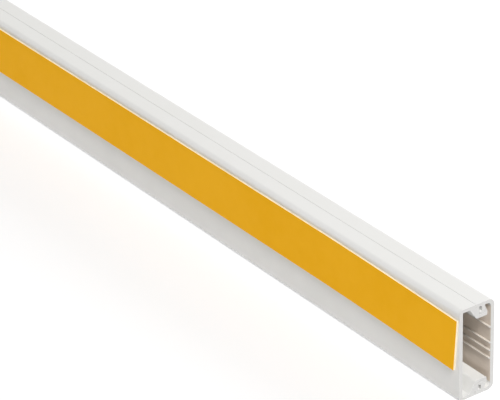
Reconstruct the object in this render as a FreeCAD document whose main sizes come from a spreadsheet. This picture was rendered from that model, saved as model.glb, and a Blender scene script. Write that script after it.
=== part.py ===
import FreeCAD, Part
import os
import re
import Sketcher

# A cord cover raceway: a base channel, the cover that clips over it, and the adhesive
# foam strip on the base's back with its release liner, all cut from stock.
# X runs along the length, Y from the wall to the cover's face and Z across the section.
# Lengths are in millimetres.
sizes = {
    "length": 1000,
    "height": 40,
    "depth": 17,
    # walls of the two extrusions, and the gaps between them
    "back_wall": 1.7,
    "face_wall": 1.7,
    "side_wall": 1.4,
    "seam_gap": 0.1,
    "lip_clearance": 0.1,
    # corners
    "back_corner": 2.0,
    "face_corner": 2.8,
    "face_inner_corner": 1.8,
    "seam_edge": 0.2,
    # the base's arm: a wedge off each side wall that ends in a gutter with a lip. Its
    # parts follow one another from the bay behind the cover's face back to the wedge.
    "bay_width": 1.7,
    "lip_thickness": 1.2,
    "gutter_width": 2.7,
    "tab_width": 1.7,
    "root_inset": 3.0,
    "heel_inset": 1.4,
    "arm_reach": 6.3,
    "gutter_floor": 1.25,
    "lip_height": 1.1,
    "lip_lead": 0.4,
    "root_blend": 0.5,
    "heel_blend": 1.2,
    "lip_blend": 0.6,
    # the cover's leg: it stands in the gutter and its heel bears on the lip
    "slot_width": 1.2,
    "leg_thickness": 1.4,
    "leg_overhang": 0.9,
    "toe_thickness": 1.2,
    "toe_lead": 0.4,
    # ribs inside the cover's face: a row of three, and one that stands apart
    "rib_height": 0.8,
    "rib_width": 0.7,
    "rib_tip": 0.4,
    "rib_pitch": 3.45,
    "rib_offset": 0.8,
    # adhesive strip
    "strip_width": 22.4,
    "strip_offset": 5.9,
    "foam_thickness": 0.9,
    "liner_thickness": 0.15,
    "strip_setback": 0.5,
    "strip_skew": 1.8,
}
rib_row = 3
rib_apart = 2

doc = FreeCAD.newDocument("CordCoverRaceway")


# The driving dimensions, one named cell for each
def make_sheet():
    sheet = doc.addObject("Spreadsheet::Sheet", "Sizes")
    for row, (name, value) in enumerate(sizes.items(), start=1):
        sheet.set(f"A{row}", name)
        sheet.set(f"B{row}", str(value))
        sheet.setAlias(f"B{row}", name)
    doc.recompute()
    return sheet


sheet = make_sheet()


# A formula in the sheet's names, as an expression that other objects can be bound to.
# Names of functions, which a bracket follows, stay as they are.
def bound(formula):
    return re.sub(r"\b[a-z]\w*\b(?!\()", lambda word: "Sizes." + word.group(), formula)


def worth(formula):
    return float(sheet.evalExpression(bound(formula)))


def make_body(name):
    body = doc.addObject("PartDesign::Body", "Body_" + name)
    body.Label = name
    return body


def plane(body, role):
    return next(item for item in body.Origin.OriginFeatures if item.Role == role)


# A closed outline on one of the body's planes. Each corner is a pair of formulas. A side
# whose ends share a formula is held level or upright, and the rest get dimensions.
def draw_outline(body, name, role, corners):
    sketch = body.newObject("Sketcher::SketchObject", name)
    sketch.AttachmentSupport = [(plane(body, role), "")]
    sketch.MapMode = "FlatFace"
    points = [FreeCAD.Vector(worth(across), worth(up), 0) for across, up in corners]
    sides = range(len(points))
    for i in sides:
        sketch.addGeometry(Part.LineSegment(points[i], points[(i + 1) % len(points)]), False)
    for i in sides:
        sketch.addConstraint(Sketcher.Constraint("Coincident", i - 1 if i else sides[-1], 2, i, 1))
    for i in sides:
        hold_corner(sketch, i, 0, corners[i][0], corners[i - 1][0] if i else None)
        hold_corner(sketch, i, 1, corners[i][1], corners[i - 1][1] if i else None)
    return sketch


# Fixes one coordinate of the corner where side i starts: 0 is across, 1 is up
def hold_corner(sketch, i, which, formula, formula_before):
    if formula == formula_before:
        sketch.addConstraint(Sketcher.Constraint(("Vertical", "Horizontal")[which], i - 1))
    elif formula == "0":
        axis = (-2, -1)[which]
        sketch.addConstraint(Sketcher.Constraint("PointOnObject", i, 1, axis))
    else:
        kind = ("DistanceX", "DistanceY")[which]
        value = worth(formula)
        number = sketch.addConstraint(Sketcher.Constraint(kind, -1, 1, i, 1, value))
        sketch.setExpression(f"Constraints[{number}]", bound(formula))


# A pad of the outline along the length, to both sides of the section plane
def pad_along(body, name, sketch, length="length"):
    pad = body.newObject("PartDesign::Pad", name)
    pad.Profile = sketch
    pad.SideType = "Symmetric"
    pad.setExpression("Length", bound(length))
    doc.recompute()
    return pad


# Rounds the lengthwise edges that run through the given places of the section
def round_edges(body, name, base, radius, places):
    edges = []
    for across, up in places:
        place = FreeCAD.Vector(0, worth(across), worth(up))
        distances = [edge.distToShape(Part.Vertex(place))[0] for edge in base.Shape.Edges]
        edges.append(f"Edge{distances.index(min(distances)) + 1}")
    fillet = body.newObject("PartDesign::Fillet", name)
    fillet.Base = (base, edges)
    fillet.setExpression("Radius", bound(radius))
    doc.recompute()
    return fillet


# The finished half, together with its mirror image in the section's middle plane
def mirror_half(body, name):
    mirrored = body.newObject("PartDesign::Mirrored", name)
    mirrored.TransformMode = "Whole shape"
    mirrored.MirrorPlane = (plane(body, "XY_Plane"), [""])
    body.Tip = mirrored
    doc.recompute()
    return mirrored


# Formulas for lines of the section that both extrusions share. Up is measured from the
# middle of the section, so a distance inward from the outer side is taken off half_height.
half_height = "height / 2"
inner_side = f"{half_height} - side_wall"
arm_top = f"{inner_side} - lip_clearance"
arm_underside = f"{half_height} - arm_reach"
gutter_level = f"{arm_underside} + gutter_floor"
lip_level = f"{gutter_level} + lip_height"
# Across, the lines run from the cover's face towards the wall
face_inner = "depth - face_wall"
lip_outer = f"{face_inner} - bay_width"
lip_inner = f"{lip_outer} - lip_thickness"
arm_side = f"{lip_inner} - gutter_width"
arm_heel = f"{arm_side} - heel_inset"
base_edge = f"{arm_side} - tab_width"
arm_root = f"{base_edge} - root_inset"


def make_base_channel():
    body = make_body("base_channel")
    section = draw_outline(body, "BaseSection", "YZ_Plane", [
        ("0", "0"),
        ("0", half_height),
        (base_edge, half_height),
        (base_edge, arm_top),
        (arm_side, arm_top),
        (arm_side, gutter_level),
        (lip_inner, gutter_level),
        (lip_inner, lip_level),
        (f"{lip_outer} - lip_lead", lip_level),
        (lip_outer, f"{lip_level} - lip_lead"),
        (lip_outer, arm_underside),
        (arm_heel, arm_underside),
        (arm_root, inner_side),
        ("back_wall", inner_side),
        ("back_wall", "0"),
    ])
    half = pad_along(body, "BaseHalf", section)
    half = round_edges(body, "BackCorner", half, "back_corner", [("0", half_height)])
    half = round_edges(body, "SeamEdge", half, "seam_edge", [(base_edge, half_height)])
    root_radius = f"min(root_blend; {arm_root} - back_wall)"
    half = round_edges(body, "ArmRoot", half, root_radius, [(arm_root, inner_side)])
    half = round_edges(body, "ArmHeel", half, "heel_blend", [(arm_heel, arm_underside)])
    round_edges(body, "LipCorner", half, "lip_blend", [(lip_outer, arm_underside)])
    mirror_half(body, "BaseMirrored")
    return body


def make_snap_cover():
    body = make_body("snap_cover")
    cover_edge = f"{base_edge} + seam_gap"
    leg_near = f"{arm_side} + slot_width"
    leg_far = f"{leg_near} + leg_thickness"
    heel_far = f"{lip_inner} + leg_overhang"
    heel_level = f"{lip_level} + lip_clearance"
    toe_near = f"{arm_side} + lip_clearance"
    toe_far = f"{lip_inner} - lip_clearance"
    toe_level = f"{gutter_level} + lip_clearance"
    toe_top = f"{toe_level} + toe_thickness"
    section = draw_outline(body, "CoverSection", "YZ_Plane", [
        ("depth", "0"),
        ("depth", half_height),
        (cover_edge, half_height),
        (cover_edge, inner_side),
        (leg_near, inner_side),
        (leg_near, toe_top),
        (toe_near, toe_top),
        (toe_near, f"{toe_level} + toe_lead"),
        (f"{toe_near} + toe_lead", toe_level),
        (toe_far, toe_level),
        (toe_far, heel_level),
        (heel_far, heel_level),
        (leg_far, inner_side),
        (face_inner, inner_side),
        (face_inner, "0"),
    ])
    half = pad_along(body, "CoverHalf", section)
    half = round_edges(body, "FaceCorner", half, "face_corner", [("depth", half_height)])
    half = round_edges(body, "SeamEdge2", half, "seam_edge", [(cover_edge, half_height)])
    round_edges(body, "InnerCorner", half, "face_inner_corner", [(face_inner, inner_side)])
    mirror_half(body, "CoverMirrored")
    add_ribs(body)
    return body


# Low ribs that run the whole length of the cover's inner face, thinner at their tips
def add_ribs(body):
    for name, middle in (("RowRib", "rib_offset"), ("LoneRib", f"rib_offset + {rib_apart} * rib_pitch")):
        section = draw_outline(body, name + "Section", "YZ_Plane", [
            (f"{face_inner} + rib_height / 2", f"{middle} - rib_width / 2"),
            (face_inner, f"{middle} - rib_width / 2"),
            (f"{face_inner} - rib_height", f"{middle} - rib_tip / 2"),
            (f"{face_inner} - rib_height", f"{middle} + rib_tip / 2"),
            (face_inner, f"{middle} + rib_width / 2"),
            (f"{face_inner} + rib_height / 2", f"{middle} + rib_width / 2"),
        ])
        rib = pad_along(body, name, section)
        if name == "RowRib":
            rib = repeat_rib(body, rib)
        body.Tip = rib
    doc.recompute()


def repeat_rib(body, rib):
    row = body.newObject("PartDesign::LinearPattern", "RibRow")
    row.Originals = [rib]
    row.Direction = (plane(body, "Z_Axis"), [""])
    row.Reversed = True
    row.Occurrences = rib_row
    row.setExpression("Length", bound(f"rib_pitch * {rib_row - 1}"))
    body.Tip = row
    doc.recompute()
    return row


# One layer of the strip: its ends are cut a little askew, short of the channel's ends
def make_layer(name, under, thickness):
    body = make_body(name)
    low = "strip_offset - strip_width / 2"
    high = "strip_offset + strip_width / 2"
    end_high = "length / 2 - strip_setback"
    end_low = f"{end_high} - strip_skew"
    outline = draw_outline(body, name + "_outline", "XZ_Plane", [
        (end_low, low),
        (end_high, high),
        (f"0 - ({end_low})", high),
        (f"0 - ({end_high})", low),
    ])
    outline.setExpression("AttachmentOffset.Base.z", bound(under))
    layer = body.newObject("PartDesign::Pad", name + "_pad")
    layer.Profile = outline
    layer.setExpression("Length", bound(thickness))
    body.Tip = layer
    doc.recompute()
    return body


# Stands the raceway on one narrow side, over the middle of its outline
def place(body):
    body.setExpression("Placement.Base.y", bound("(foam_thickness + liner_thickness - depth) / 2"))
    body.setExpression("Placement.Base.z", bound("height / 2"))


def check_and_write(bodies):
    doc.recompute()
    for item in doc.Objects:
        if {"Invalid", "Error"} & set(item.State):
            raise ValueError(f"{item.Name} has failed: {item.State}")
    for body in bodies:
        shape = body.Shape
        if shape.isNull() or not shape.isValid() or len(shape.Solids) != 1:
            raise ValueError(f"{body.Label} isn't one sound solid")
        box = shape.BoundBox
        print(body.Label, f"{shape.Volume:.1f} mm3", f"{box.XLength:.2f} x {box.YLength:.2f} x {box.ZLength:.2f}",
              f"from {box.XMin:.2f} {box.YMin:.2f} {box.ZMin:.2f}")
    os.makedirs("parts", exist_ok=True)
    for body in bodies:
        body.Shape.exportStep(f"parts/{body.Label}.step")


pieces = [
    make_base_channel(),
    make_snap_cover(),
    make_layer("adhesive_foam_tape", "0", "foam_thickness"),
    make_layer("release_liner", "foam_thickness", "liner_thickness"),
]
for piece in pieces:
    place(piece)
check_and_write(pieces)
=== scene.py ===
import math

import bmesh
import bpy
from mathutils import Matrix, Vector, noise


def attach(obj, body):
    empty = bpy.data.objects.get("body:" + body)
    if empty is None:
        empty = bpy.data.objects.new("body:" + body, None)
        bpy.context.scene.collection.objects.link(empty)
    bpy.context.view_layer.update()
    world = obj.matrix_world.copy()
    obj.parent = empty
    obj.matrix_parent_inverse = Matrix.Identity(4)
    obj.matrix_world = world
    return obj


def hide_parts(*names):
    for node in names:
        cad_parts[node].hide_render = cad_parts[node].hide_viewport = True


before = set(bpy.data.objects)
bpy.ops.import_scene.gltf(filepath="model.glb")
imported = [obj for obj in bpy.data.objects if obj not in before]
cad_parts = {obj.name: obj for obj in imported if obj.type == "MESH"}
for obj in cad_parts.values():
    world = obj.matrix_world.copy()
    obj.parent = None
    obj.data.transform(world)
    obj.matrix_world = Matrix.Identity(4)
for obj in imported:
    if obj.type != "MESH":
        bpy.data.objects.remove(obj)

mm = 0.001
sameSpot = 1e-6  # metres, closer than this two points are one
sharpTurn = math.radians(32)  # an edge that turns more than this stays crisp
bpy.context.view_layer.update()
print("frame loaded:", sorted(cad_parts))


def toObject(name, bm, materials):
    mesh = bpy.data.meshes.new(name)
    bm.to_mesh(mesh)
    bm.free()
    for material in materials:
        mesh.materials.append(material)
    piece = bpy.data.objects.new(name, mesh)
    bpy.context.scene.collection.objects.link(piece)
    return piece


def newGroup(name, inputs, outputs):
    group = bpy.data.node_groups.new(name, "ShaderNodeTree")
    for label, kind, value in inputs:
        socket = group.interface.new_socket(label, in_out="INPUT", socket_type=kind)
        if value is not None:
            socket.default_value = value
    for label, kind in outputs:
        group.interface.new_socket(label, in_out="OUTPUT", socket_type=kind)
    return group, group.nodes.new("NodeGroupInput"), group.nodes.new("NodeGroupOutput")


def addNode(tree, kind, **settings):
    node = tree.nodes.new(kind)
    for name, value in settings.items():
        if name in node.inputs:
            node.inputs[name].default_value = value
        else:
            setattr(node, name, value)
    return node


def newMaterial(name):
    material = bpy.data.materials.new(name)
    material.use_nodes = True
    tree = material.node_tree
    shader = tree.nodes["Principled BSDF"]
    place = tree.nodes.new("ShaderNodeTexCoord")
    return material, tree, shader, place.outputs["Object"]


def useGroup(tree, group, position, **values):
    node = tree.nodes.new("ShaderNodeGroup")
    node.node_tree = group
    tree.links.new(position, node.inputs["Position"])
    for name, value in values.items():
        node.inputs[name].default_value = value
    return node


def mixColours(tree, factor, first, second):
    mix = tree.nodes.new("ShaderNodeMix")
    mix.data_type = "RGBA"
    mix.inputs["A"].default_value = first
    mix.inputs["B"].default_value = second
    tree.links.new(factor, mix.inputs["Factor"])
    return mix.outputs["Result"]


def rangeOf(tree, value, low, high):
    spread = addNode(tree, "ShaderNodeMapRange")
    spread.inputs["To Min"].default_value = low
    spread.inputs["To Max"].default_value = high
    tree.links.new(value, spread.inputs["Value"])
    return spread.outputs["Result"]


def addBump(tree, shader, height, strength, distance):
    bump = addNode(tree, "ShaderNodeBump", Strength=strength, Distance=distance)
    tree.links.new(height, bump.inputs["Height"])
    tree.links.new(bump.outputs["Normal"], shader.inputs["Normal"])


def makeDrawLines():
    # faint lines that the extrusion die leaves along the length
    group, start, end = newGroup("drawLines", [
        ("Position", "NodeSocketVector", None),
        ("Stretch", "NodeSocketVector", (3, 900, 900)),
    ], [("Height", "NodeSocketFloat")])
    mapping = addNode(group, "ShaderNodeMapping")
    lines = addNode(group, "ShaderNodeTexNoise", Scale=1.0, Detail=4.0, Roughness=0.6)
    group.links.new(start.outputs["Position"], mapping.inputs["Vector"])
    group.links.new(start.outputs["Stretch"], mapping.inputs["Scale"])
    group.links.new(mapping.outputs["Vector"], lines.inputs["Vector"])
    group.links.new(lines.outputs["Fac"], end.inputs["Height"])
    return group


def makeHandling():
    # soft blotches of gloss and tone from handling and storage
    group, start, end = newGroup("handling", [
        ("Position", "NodeSocketVector", None),
        ("Size", "NodeSocketFloat", 14.0),
    ], [("Mask", "NodeSocketFloat")])
    blotches = addNode(group, "ShaderNodeTexNoise", Detail=3.0, Roughness=0.55)
    smears = addNode(group, "ShaderNodeTexNoise", Detail=5.0, Roughness=0.6)
    finer = addNode(group, "ShaderNodeMath", operation="MULTIPLY")
    finer.inputs[1].default_value = 7.0  # smears are this much finer than blotches
    both = addNode(group, "ShaderNodeMath", operation="MULTIPLY")
    lifted = addNode(group, "ShaderNodeMapRange")
    lifted.inputs["From Min"].default_value = 0.16
    lifted.inputs["From Max"].default_value = 0.36
    for texture in (blotches, smears):
        group.links.new(start.outputs["Position"], texture.inputs["Vector"])
    group.links.new(start.outputs["Size"], blotches.inputs["Scale"])
    group.links.new(start.outputs["Size"], finer.inputs[0])
    group.links.new(finer.outputs[0], smears.inputs["Scale"])
    group.links.new(blotches.outputs["Fac"], both.inputs[0])
    group.links.new(smears.outputs["Fac"], both.inputs[1])
    group.links.new(both.outputs[0], lifted.inputs["Value"])
    group.links.new(lifted.outputs["Result"], end.inputs["Mask"])
    return group


def makeSawMarks():
    # fine arcs and grain that the saw leaves across a cut end
    group, start, end = newGroup("sawMarks", [
        ("Position", "NodeSocketVector", None),
        ("Pitch", "NodeSocketFloat", 900.0),
    ], [("Height", "NodeSocketFloat"), ("Tone", "NodeSocketFloat")])
    tilt = addNode(group, "ShaderNodeMapping", Rotation=(math.radians(24), 0, 0))
    marks = addNode(group, "ShaderNodeTexWave", bands_direction="Z", Distortion=1.6, Detail=3.0)
    marks.inputs["Detail Scale"].default_value = 2.0
    grain = addNode(group, "ShaderNodeTexNoise", Scale=2600.0, Detail=2.0)
    both = addNode(group, "ShaderNodeMix", data_type="FLOAT")
    both.inputs["Factor"].default_value = 0.45
    group.links.new(start.outputs["Position"], tilt.inputs["Vector"])
    group.links.new(tilt.outputs["Vector"], marks.inputs["Vector"])
    group.links.new(start.outputs["Pitch"], marks.inputs["Scale"])
    group.links.new(start.outputs["Position"], grain.inputs["Vector"])
    group.links.new(marks.outputs["Fac"], both.inputs["A"])
    group.links.new(grain.outputs["Fac"], both.inputs["B"])
    group.links.new(both.outputs["Result"], end.inputs["Height"])
    group.links.new(both.outputs["Result"], end.inputs["Tone"])
    return group


drawLines = makeDrawLines()
handling = makeHandling()
sawMarks = makeSawMarks()


satinWhite = {
    "tone": (0.80, 0.795, 0.775, 1), "smudged": (0.775, 0.769, 0.745, 1),
    "roughLow": 0.44, "roughHigh": 0.54, "ior": 1.53, "lineStrength": 0.12, "lineDepth": 0.02,
}
# inside the cover the white is painted warmer and darker than the outer skin: painted shade, with
# the warm cast of light bounced about inside the channel
innerShadedWhite = {
    "tone": (0.775, 0.672, 0.575, 1), "smudged": (0.755, 0.647, 0.545, 1),
    "roughLow": 0.5, "roughHigh": 0.6, "ior": 1.53, "lineStrength": 0.2, "lineDepth": 0.02,
}
# the ribs are painted darker than the wall they stand on: painted shade that dims the light on
# their crowns
ribShadedWhite = {
    "tone": (0.68, 0.62, 0.555, 1), "smudged": (0.655, 0.595, 0.53, 1),
    "roughLow": 0.5, "roughHigh": 0.6, "ior": 1.53, "lineStrength": 0.2, "lineDepth": 0.02,
}
# the same marks run over all three
extrudedMarks = {"blotchSize": 11.0, "lineStretch": (2.5, 1100, 1100)}


def makeExtruded(name, finish):
    material, tree, shader, position = newMaterial(name)
    marks = useGroup(tree, handling, position, Size=extrudedMarks["blotchSize"])
    lines = useGroup(tree, drawLines, position, Stretch=extrudedMarks["lineStretch"])
    mask = marks.outputs["Mask"]
    tree.links.new(mixColours(tree, mask, finish["tone"], finish["smudged"]),
                   shader.inputs["Base Color"])
    tree.links.new(rangeOf(tree, mask, finish["roughLow"], finish["roughHigh"]),
                   shader.inputs["Roughness"])
    shader.inputs["IOR"].default_value = finish["ior"]
    addBump(tree, shader, lines.outputs["Height"], finish["lineStrength"], finish["lineDepth"] * mm)
    return material


# the cut ends are painted darker than the outer skin as painted shade against the strong end light;
# the saw marks really vary the tone between low and high
sawnShadedWhite = {
    "low": (0.575, 0.567, 0.55, 1), "high": (0.615, 0.607, 0.592, 1),
    "roughLow": 0.5, "roughHigh": 0.62, "pitch": 700.0, "markStrength": 0.25, "markDepth": 0.03,
}


def makeSawnShadedWhite():
    material, tree, shader, position = newMaterial("sawnShadedWhitePvc")
    marks = useGroup(tree, sawMarks, position, Pitch=sawnShadedWhite["pitch"])
    tone = marks.outputs["Tone"]
    tree.links.new(mixColours(tree, tone, sawnShadedWhite["low"], sawnShadedWhite["high"]),
                   shader.inputs["Base Color"])
    tree.links.new(rangeOf(tree, tone, sawnShadedWhite["roughLow"], sawnShadedWhite["roughHigh"]),
                   shader.inputs["Roughness"])
    addBump(tree, shader, marks.outputs["Height"],
            sawnShadedWhite["markStrength"], sawnShadedWhite["markDepth"] * mm)
    return material


# the darker pore colour is painted shade in the foam's cell hollows, laid on in blotches
creamFoam = {
    "wall": (0.92, 0.83, 0.63, 1), "poreShade": (0.76, 0.64, 0.43, 1), "rough": 0.92,
    "cellPitch": 3200.0, "wallEdge": 0.25, "poreStrength": 0.5, "poreDepth": 0.08,
    "blotchSize": 60.0,
}


def makeCreamFoam():
    material, tree, shader, position = newMaterial("creamFoam")
    cells = addNode(tree, "ShaderNodeTexVoronoi", feature="DISTANCE_TO_EDGE",
                    Scale=creamFoam["cellPitch"])
    pores = addNode(tree, "ShaderNodeMapRange")
    pores.inputs["From Max"].default_value = creamFoam["wallEdge"]
    tree.links.new(position, cells.inputs["Vector"])
    tree.links.new(cells.outputs["Distance"], pores.inputs["Value"])
    depth = addNode(tree, "ShaderNodeMath", operation="SUBTRACT")
    depth.inputs[0].default_value = 1.0
    tree.links.new(pores.outputs["Result"], depth.inputs[1])
    marks = useGroup(tree, handling, position, Size=creamFoam["blotchSize"])
    # painted shade: the cell hollows darken where the blotch mask allows
    shaded = addNode(tree, "ShaderNodeMath", operation="MULTIPLY")
    tree.links.new(pores.outputs["Result"], shaded.inputs[0])
    tree.links.new(marks.outputs["Mask"], shaded.inputs[1])
    tree.links.new(mixColours(tree, shaded.outputs[0], creamFoam["wall"], creamFoam["poreShade"]),
                   shader.inputs["Base Color"])
    shader.inputs["Roughness"].default_value = creamFoam["rough"]
    addBump(tree, shader, depth.outputs[0], creamFoam["poreStrength"], creamFoam["poreDepth"] * mm)
    return material


yellowPaper = {
    "tone": (0.97, 0.485, 0.004, 1), "worn": (0.945, 0.465, 0.003, 1),
    "roughLow": 0.5, "roughHigh": 0.6, "gloss": 0.06, "blotchSize": 22.0,
    "ripplePitch": 180.0, "rippleStrength": 0.2, "rippleDepth": 0.03,
}


def makeYellowPaper():
    material, tree, shader, position = newMaterial("yellowLinerPaper")
    marks = useGroup(tree, handling, position, Size=yellowPaper["blotchSize"])
    mask = marks.outputs["Mask"]
    tree.links.new(mixColours(tree, mask, yellowPaper["tone"], yellowPaper["worn"]),
                   shader.inputs["Base Color"])
    tree.links.new(rangeOf(tree, mask, yellowPaper["roughLow"], yellowPaper["roughHigh"]),
                   shader.inputs["Roughness"])
    shader.inputs["Specular IOR Level"].default_value = yellowPaper["gloss"]
    ripples = addNode(tree, "ShaderNodeTexNoise", Scale=yellowPaper["ripplePitch"],
                      Detail=4.0, Roughness=0.5)
    tree.links.new(position, ripples.inputs["Vector"])
    addBump(tree, shader, ripples.outputs["Fac"],
            yellowPaper["rippleStrength"], yellowPaper["rippleDepth"] * mm)
    return material


satinWhitePvc = makeExtruded("satinWhitePvc", satinWhite)
# the cover's inside and rib finishes made here carry painted shade in their colour
innerShadedWhitePvc = makeExtruded("innerShadedWhitePvc", innerShadedWhite)
# the rib finish is a darker copy of the inner white: painted shade
ribShadedWhitePvc = makeExtruded("ribShadedWhitePvc", ribShadedWhite)
# cut-end finish: saw marks, on a base tone that is painted shade
sawnShadedWhitePvc = makeSawnShadedWhite()
creamFoamBlock = makeCreamFoam()
yellowLinerPaper = makeYellowPaper()
print("finishes made")


# The two extrusions have the part's own sizes, with true arcs and eased cut edges. Across
# runs from the wall to the cover's face, inward from a narrow side. Millimetres.
raceway = {
    "length": 1000.0, "height": 40.0, "depth": 17.0, "strip": 1.05,
    "backWall": 1.7, "faceWall": 1.7, "sideWall": 1.4, "seamGap": 0.1, "clearance": 0.1,
    "seamEdge": 0.2, "bay": 1.7, "lip": 1.2, "gutter": 2.7, "tab": 1.7,
    "rimEase": 0.08, "arcSteps": 7,
}
wallShift = (raceway["strip"] - raceway["depth"]) / 2
faceInner = raceway["depth"] - raceway["faceWall"]
lipOuter = faceInner - raceway["bay"]
lipInner = lipOuter - raceway["lip"]
armSide = lipInner - raceway["gutter"]
baseEdge = armSide - raceway["tab"]


def roundCorner(bm, corner, radius):
    arms = [(edge.other_vert(corner).co - corner.co).normalized() for edge in corner.link_edges]
    reach = radius * mm / math.tan(arms[0].angle(arms[1]) / 2)
    bmesh.ops.bevel(bm, geom=[corner], offset=reach, offset_type="OFFSET", affect="VERTICES",
                    segments=raceway["arcSteps"], profile=0.5, material=-1)


def drawHalf(corners, radii):
    # one half of a section, from the narrow side to the middle plane, which lies at zero
    bm = bmesh.new()
    middle = raceway["height"] / 2
    points = [bm.verts.new((0, (across + wallShift) * mm, (inward - middle) * mm))
              for across, inward in corners]
    sides = [bm.edges.new(pair) for pair in zip(points, points[1:] + points[:1])]
    bmesh.ops.contextual_create(bm, geom=sides)
    for place, radius in radii.items():
        roundCorner(bm, points[place], radius)
    return bm


def mirrorHalf(bm):
    bmesh.ops.mirror(bm, geom=bm.verts[:] + bm.edges[:] + bm.faces[:], matrix=Matrix(),
                     merge_dist=sameSpot, axis="Z")
    inside = [edge for edge in bm.edges if len(edge.link_faces) == 2]
    bmesh.ops.dissolve_edges(bm, edges=inside, use_verts=True)


def addRib(bm, middle, rib):
    # two cuts across the face wall mark the rib's root, which then grows out and narrows
    level = (middle - raceway["height"] / 2) * mm
    halfWidth = rib["width"] / 2 * mm
    for side in (-1, 1):
        bmesh.ops.bisect_plane(bm, geom=bm.verts[:] + bm.edges[:] + bm.faces[:], dist=1e-7,
                               plane_co=(0, 0, level + side * halfWidth), plane_no=(0, 0, 1))
    wallLine = (faceInner + wallShift) * mm
    root = [edge for edge in bm.edges if all(
        abs(v.co.y - wallLine) < sameSpot and abs(v.co.z - level) < halfWidth + sameSpot
        for v in edge.verts)]
    grown = bmesh.ops.extrude_edge_only(bm, edges=root)
    tip = [item for item in grown["geom"] if isinstance(item, bmesh.types.BMVert)]
    bmesh.ops.translate(bm, verts=tip, vec=(0, -rib["height"] * mm, 0))
    bmesh.ops.scale(bm, verts=tip, vec=(1, 1, rib["tip"] / rib["width"]),
                    space=Matrix.Translation((0, 0, -level)))
    return tip


# how deep each finish reaches, from the outer faces or, for the ribs, from the face wall's inside
finishReach = {"skin": 1.0, "joint": 5.0, "ribFoot": 0.02, "ribCrown": 1.0}


def facesEnd(face):
    # the cut itself and the half of its eased rim that turns towards it
    return abs(face.normal.x) > 0.9


def finishOf(face):
    # 0 the outer skin and the joints, 1 the cut ends (painted shade), 2 the inside (painted shade
    # on the cover), 3 the ribs (painted shade)
    if facesEnd(face):
        return 1
    middle = face.calc_center_median()
    across = middle.y / mm - wallShift
    inward = middle.z / mm
    skin = min(across, raceway["depth"] - across)
    side = min(inward, raceway["height"] - inward)
    if skin < finishReach["skin"] or side < finishReach["joint"]:
        return 0
    return 3 if finishReach["ribFoot"] < faceInner - across < finishReach["ribCrown"] else 2


def finishPiece(name, bm, materials):
    # smooth shading that stops at every real edge and stays flat over the wide faces
    for face in bm.faces:
        face.smooth = True
    for edge in bm.edges:
        edge.smooth = edge.calc_face_angle(0) < sharpTurn
    piece = toObject(name, bm, materials)
    shading = piece.modifiers.new("wideFacesFlat", "WEIGHTED_NORMAL")
    shading.keep_sharp = True
    return piece


def extrudeSection(name, bm, insides):
    # the flat section becomes the full length, with both cut rims eased
    bmesh.ops.dissolve_faces(bm, faces=bm.faces[:])
    bmesh.ops.dissolve_limit(bm, angle_limit=0.001, verts=bm.verts[:], edges=bm.edges[:])
    grown = bmesh.ops.extrude_face_region(bm, geom=bm.faces[:])
    farEnd = [item for item in grown["geom"] if isinstance(item, bmesh.types.BMVert)]
    bmesh.ops.translate(bm, verts=farEnd, vec=(raceway["length"] * mm, 0, 0))
    bmesh.ops.translate(bm, verts=bm.verts[:],
                        vec=(-raceway["length"] / 2 * mm, 0, raceway["height"] / 2 * mm))
    bmesh.ops.recalc_face_normals(bm, faces=bm.faces[:])
    rims = [edge for edge in bm.edges if sum(facesEnd(face) for face in edge.link_faces) == 1]
    bmesh.ops.bevel(bm, geom=rims, offset=raceway["rimEase"] * mm, offset_type="OFFSET",
                    affect="EDGES", segments=2, profile=0.5, material=-1, clamp_overlap=False)
    for face in bm.faces:
        face.material_index = finishOf(face)
    return finishPiece(name, bm, [satinWhitePvc, sawnShadedWhitePvc] + insides)


baseShape = {
    "armReach": 6.3, "gutterFloor": 1.25, "lipHeight": 1.1, "lipLead": 0.4,
    "rootInset": 3.0, "heelInset": 1.4,
    "backCorner": 2.0, "rootBlend": 0.5, "heelBlend": 1.2, "lipBlend": 0.6,
    "leadEase": 0.15, "tabEase": 0.1, "bayCorner": 0.2,
}
gutterLevel = baseShape["armReach"] - baseShape["gutterFloor"]
lipLevel = gutterLevel - baseShape["lipHeight"]


def makeBase():
    middle = raceway["height"] / 2
    tabTop = raceway["sideWall"] + raceway["clearance"]
    bm = drawHalf([
        (0, middle), (0, 0), (baseEdge, 0), (baseEdge, tabTop),
        (armSide, tabTop), (armSide, gutterLevel), (lipInner, gutterLevel),
        (lipInner, lipLevel), (lipOuter - baseShape["lipLead"], lipLevel),
        (lipOuter, lipLevel + baseShape["lipLead"]), (lipOuter, baseShape["armReach"]),
        (armSide - baseShape["heelInset"], baseShape["armReach"]),
        (baseEdge - baseShape["rootInset"], raceway["sideWall"]),
        (raceway["backWall"], raceway["sideWall"]), (raceway["backWall"], middle),
    ], {  # the corners above are counted from 0
        1: baseShape["backCorner"], 2: raceway["seamEdge"],
        10: baseShape["lipBlend"], 11: baseShape["heelBlend"], 12: baseShape["rootBlend"],
        8: baseShape["leadEase"], 9: baseShape["leadEase"],
        4: baseShape["tabEase"], 13: baseShape["bayCorner"],
    })
    mirrorHalf(bm)
    return extrudeSection("baseChannel", bm, [satinWhitePvc])


coverShape = {
    "faceCorner": 2.8, "innerCorner": 1.8, "slot": 1.2, "leg": 1.4, "overhang": 0.9,
    "toe": 1.2, "toeLead": 0.4,
    "rootEase": 0.25, "leadEase": 0.15, "toeEase": 0.1, "hookEase": 0.12,
    "rib": {"height": 0.8, "width": 0.7, "tip": 0.4, "tipRadius": 0.12},
    "ribPlaces": (27.7, 20.8, 17.35, 13.9),
}


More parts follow.
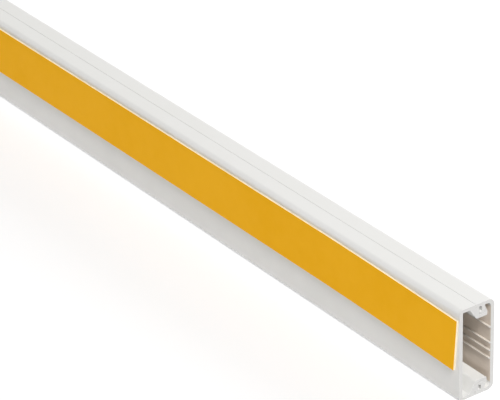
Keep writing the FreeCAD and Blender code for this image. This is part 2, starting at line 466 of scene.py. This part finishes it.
def makeCover():
    middle = raceway["height"] / 2
    gap = raceway["clearance"]
    coverEdge = baseEdge + raceway["seamGap"]
    legNear = armSide + coverShape["slot"]
    toeLevel = gutterLevel - gap
    bm = drawHalf([
        (raceway["depth"], middle), (raceway["depth"], 0),
        (coverEdge, 0), (coverEdge, raceway["sideWall"]),
        (legNear, raceway["sideWall"]), (legNear, toeLevel - coverShape["toe"]),
        (armSide + gap, toeLevel - coverShape["toe"]),
        (armSide + gap, toeLevel - coverShape["toeLead"]),
        (armSide + gap + coverShape["toeLead"], toeLevel), (lipInner - gap, toeLevel),
        (lipInner - gap, lipLevel - gap), (lipInner + coverShape["overhang"], lipLevel - gap),
        (legNear + coverShape["leg"], raceway["sideWall"]), (faceInner, raceway["sideWall"]),
        (faceInner, middle),
    ], {
        1: coverShape["faceCorner"], 2: raceway["seamEdge"], 13: coverShape["innerCorner"],
        4: coverShape["rootEase"], 5: coverShape["leadEase"], 6: coverShape["toeEase"],
        7: coverShape["leadEase"], 8: coverShape["leadEase"], 9: coverShape["toeEase"],
        11: coverShape["hookEase"], 12: coverShape["rootEase"],
    })
    mirrorHalf(bm)
    tips = [addRib(bm, place, coverShape["rib"]) for place in coverShape["ribPlaces"]]
    bmesh.ops.dissolve_faces(bm, faces=bm.faces[:])
    for corner in [corner for tip in tips for corner in tip]:
        roundCorner(bm, corner, coverShape["rib"]["tipRadius"])
    # the cover's inside and its ribs get the painted-shade finishes
    return extrudeSection("snapCover", bm, [innerShadedWhitePvc, ribShadedWhitePvc])


baseChannel = makeBase()
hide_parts("base_channel")
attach(baseChannel, "channel")

snapCover = makeCover()
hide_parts("snap_cover")
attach(snapCover, "cover")
print("extrusions made:", len(baseChannel.data.polygons), len(snapCover.data.polygons), "faces")


# The adhesive strip is foam with its release liner, laid by hand and not quite straight.
strip = {
    "width": 22.4, "middle": 25.9, "setback": 0.5, "skew": 1.8, "divisions": 200,
    "foam": 0.9, "foamInset": 0.1, "foamEase": 0.08, "liner": 0.15, "linerEase": 0.03,
    "waver": 0.12, "waverLength": 210.0, "waverStart": (3.7, 0.4, 0.2),
    "sag": 1.5, "sagLength": 85.0, "sagCurve": 1.5,
}


def stripWaver(x):
    # sideways wander along the length, and the sag where each end was pulled off the roll
    place = Vector((x / (strip["waverLength"] * mm), 0, 0)) + Vector(strip["waverStart"])
    wander = strip["waver"] * noise.noise(place) * 2  # this noise stays within about a half
    toEnd = (raceway["length"] / 2 - abs(x) / mm) / strip["sagLength"]
    return (wander - strip["sag"] * max(0, 1 - toEnd) ** strip["sagCurve"]) * mm


def makeLayer(name, under, thickness, inset, ease, material):
    bm = bmesh.new()
    bmesh.ops.create_cube(bm, size=1)
    length = raceway["length"] - 2 * strip["setback"]
    width = strip["width"] - 2 * inset
    bmesh.ops.scale(bm, verts=bm.verts[:], vec=(length * mm, thickness * mm, width * mm))
    for v in bm.verts:  # the ends are cut a little askew
        if v.co.x * v.co.z < 0:
            v.co.x -= math.copysign(strip["skew"] * mm, v.co.x)
    bmesh.ops.bevel(bm, geom=bm.edges[:], offset=ease * mm, offset_type="OFFSET",
                    affect="EDGES", segments=2, profile=0.5, material=-1)
    lengthwise = [edge for edge in bm.edges if edge.calc_length() > length / 2 * mm]
    bmesh.ops.subdivide_edges(bm, edges=lengthwise, cuts=strip["divisions"], use_grid_fill=True)
    back = wallShift - under - thickness / 2
    bmesh.ops.translate(bm, verts=bm.verts[:], vec=(0, back * mm, strip["middle"] * mm))
    for v in bm.verts:
        v.co.z += stripWaver(v.co.x)
    bmesh.ops.recalc_face_normals(bm, faces=bm.faces[:])
    return finishPiece(name, bm, [material])


foamTape = makeLayer("foamTape", 0, strip["foam"], strip["foamInset"], strip["foamEase"],
                     creamFoamBlock)
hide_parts("adhesive_foam_tape")
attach(foamTape, "channel")

linerPaper = makeLayer("linerPaper", strip["foam"], strip["liner"], 0, strip["linerEase"],
                       yellowLinerPaper)
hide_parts("release_liner")
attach(linerPaper, "channel")
print("strip made")


# the raceway stands on a pale sheet that is also lit from below, which softens its contact shadow
studio = {
    "floorTone": (0.617, 0.619, 0.624, 1), "floorGlow": 0.37, "floorRough": 0.85,
    "floorGloss": 0.1, "floorReach": 12, "sky": 0.11,
    "back": {"size": 1.6, "power": 41.0, "place": (0.1, 2.6, 1.3), "aim": (0.3, 0, 0)},
    "end": {"size": 1.7, "power": 262.0, "place": (3.35, -0.85, 4.2), "aim": (0.45, 0, 0)},
    "side": {"size": 0.9, "power": 4.0, "place": (2.3, -1.3, 2.2), "aim": (0.45, 0, 0)},
    "front": {"size": 1.4, "power": 3.0, "place": (0.2, -2.6, 0.9), "aim": (0.45, 0, 0)},
}


def makeFloor():
    bm = bmesh.new()
    bmesh.ops.create_grid(bm, x_segments=1, y_segments=1, size=studio["floorReach"])
    material = bpy.data.materials.new("paleFloor")
    material.use_nodes = True
    shader = material.node_tree.nodes["Principled BSDF"]
    shader.inputs["Base Color"].default_value = studio["floorTone"]
    shader.inputs["Roughness"].default_value = studio["floorRough"]
    shader.inputs["Specular IOR Level"].default_value = studio["floorGloss"]
    shader.inputs["Emission Color"].default_value = (1, 1, 1, 1)
    shader.inputs["Emission Strength"].default_value = studio["floorGlow"]
    floor = toObject("floor", bm, [material])


def makeLight(name, settings):
    light = bpy.data.lights.new(name, "AREA")
    light.shape = "DISK"
    light.size = settings["size"]
    light.energy = settings["power"]
    lamp = bpy.data.objects.new(name, light)
    bpy.context.scene.collection.objects.link(lamp)
    lamp.location = settings["place"]
    towards = Vector(settings["aim"]) - lamp.location
    lamp.rotation_euler = towards.to_track_quat("-Z", "Y").to_euler()


def makeSky():
    world = bpy.data.worlds.new("paleStudio")
    world.use_nodes = True
    background = world.node_tree.nodes["Background"]
    background.inputs["Color"].default_value = (1, 1, 1, 1)
    background.inputs["Strength"].default_value = studio["sky"]
    bpy.context.scene.world = world
    bpy.context.scene.view_settings.view_transform = "Standard"


# the photo's viewpoint, fitted to the long edges and the near end
viewpoint = {
    "place": (1.22667, -0.60935, 0.59956), "turn": 55.0755, "drop": 28.4502, "roll": -1.7617,
    "lens": 210.485, "sensor": 36,
}


def makeCamera():
    camera = bpy.data.cameras.new("photoView")
    camera.sensor_width = viewpoint["sensor"]
    camera.lens = viewpoint["lens"]
    camera.clip_start = 0.01
    camera.clip_end = 30
    eye = bpy.data.objects.new("photoView", camera)
    bpy.context.scene.collection.objects.link(eye)
    turned = Matrix.Rotation(math.radians(viewpoint["turn"]), 4, "Z")
    tipped = Matrix.Rotation(math.radians(90 - viewpoint["drop"]), 4, "X")
    rolled = Matrix.Rotation(math.radians(viewpoint["roll"]), 4, "Z")
    eye.matrix_world = Matrix.Translation(viewpoint["place"]) @ turned @ tipped @ rolled
    bpy.context.scene.camera = eye


makeFloor()
for name in ("back", "end", "side", "front"):
    makeLight(name + "Light", studio[name])
makeSky()
makeCamera()
print("studio ready")
